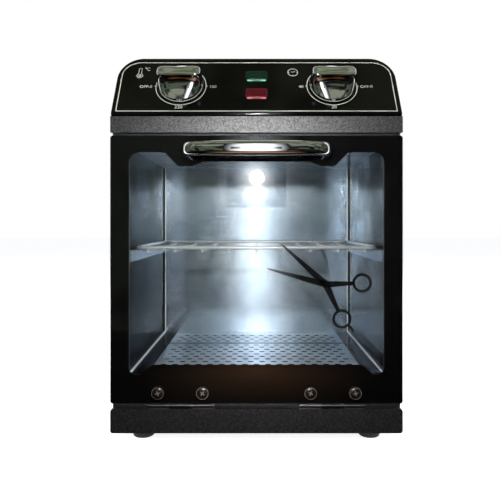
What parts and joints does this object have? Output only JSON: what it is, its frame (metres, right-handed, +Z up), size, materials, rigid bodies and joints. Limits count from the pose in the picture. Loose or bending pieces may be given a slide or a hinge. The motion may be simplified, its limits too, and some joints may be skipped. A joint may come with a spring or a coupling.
{
  "type": "dry heat sterilizer",
  "caption": "Table-top dry heat sterilizer: black cabinet, drop-down glass door with bow handle, stainless chamber with wire rack, sloped panel with dials and lamps.",
  "frame": {"origin": "on the table, in the middle of the overall width and depth, door handle and rear socket included", "axes": "+Z up, +X to the right seen from the front, +Y from the front to the rear; the door faces -Y"},
  "size_m": [0.2204, 0.2062, 0.3046],
  "materials": {
    "case_paint": "fine textured powder coat",
    "panel_gloss": "polished black",
    "door_glass": "clear tempered glass",
    "door_print": "black screen print behind glass",
    "chrome": "polished chrome plate",
    "stainless": "bright brushed stainless sheet",
    "rack_wire": "plated wire",
    "black_steel": "black painted sheet",
    "rubber": "matte rubber",
    "silicone": "matte silicone",
    "screw_steel": "bright screw steel",
    "brass": "bright brass",
    "heater": "oxidised heater sheath",
    "mineral_wool": "mineral wool blanket",
    "black_plastic": "moulded black plastic",
    "white_plastic": "moulded pale plastic",
    "green_lens": "ribbed translucent green",
    "red_lens": "ribbed translucent red",
    "magnet": "dark ferrite",
    "galvanised": "galvanised sheet"
  },
  "bodies": {
    "cabinet": {"outer_shell": "case_paint", "base_pan": "case_paint", "head_band": "case_paint", "rear_cover": "case_paint", "control_panel": "panel_gloss", "front_frame": "black_steel", "door_gasket": "silicone", "door_catch": "magnet", "left_hinge_case_leaf": "stainless", "right_hinge_case_leaf": "stainless", "left_hinge_pin": "screw_steel", "right_hinge_pin": "screw_steel", "thermostat_body": "galvanised", "timer_body": "galvanised", "control_nuts": "brass", "thermostat_bulb": "heater", "run_lamp_lens": "green_lens", "power_lamp_lens": "red_lens", "run_lamp_body": "black_plastic", "power_lamp_body": "black_plastic", "chamber_liner": "stainless", "left_side_panel": "stainless", "right_side_panel": "stainless", "floor_plate": "stainless", "ceiling_plate": "stainless", "left_rack_rail": "stainless", "right_rack_rail": "stainless", "lower_heater": "heater", "upper_heater": "heater", "heater_clips": "galvanised", "insulation_jacket": "mineral_wool", "heat_shield": "galvanised", "thermal_cutout": "white_plastic", "terminal_block": "white_plastic", "power_inlet": "black_plastic", "inlet_blades": "brass", "left_front_foot": "rubber", "left_rear_foot": "rubber", "right_front_foot": "rubber", "right_rear_foot": "rubber", "foot_screws": "screw_steel", "base_screws": "brass", "hinge_screws": "screw_steel", "rear_screws": "screw_steel"},
    "door": {"door_glass": "door_glass", "door_mask": "door_print", "door_handle": "chrome", "handle_screws": "screw_steel", "door_screws": "screw_steel", "catch_strike": "screw_steel", "left_hinge_door_leaf": "stainless", "right_hinge_door_leaf": "stainless"},
    "temperature_dial": {"temperature_knob": "chrome", "temperature_spindle": "screw_steel"},
    "timer_dial": {"timer_knob": "chrome", "timer_spindle": "screw_steel"},
    "rack": {"wire_rack": "rack_wire"}
  },
  "joints": [
    {"name": "door_hinge", "type": "hinge", "parent": "cabinet", "child": "door", "pos_m": [0, -0.0795, 0.0334], "axis": [1, 0, 0], "range_deg": [0, 90]},
    {"name": "temperature_dial_turn", "type": "hinge", "parent": "cabinet", "child": "temperature_dial", "pos_m": [-0.059, -0.0656, 0.27825], "axis": [0, 0.866, -0.5], "range_deg": [0, 270]},
    {"name": "timer_dial_turn", "type": "hinge", "parent": "cabinet", "child": "timer_dial", "pos_m": [0.059, -0.0656, 0.27825], "axis": [0, 0.866, -0.5], "range_deg": [0, 270]},
    {"name": "rack_slide", "type": "slide", "parent": "cabinet", "child": "rack", "axis": [0, -1, 0], "range_m": [0, 0.1201]}
  ],
  "couplings": [
    {"joint": "rack_slide", "follows": "door_hinge", "m_per_rad": 0.0764}
  ]
}
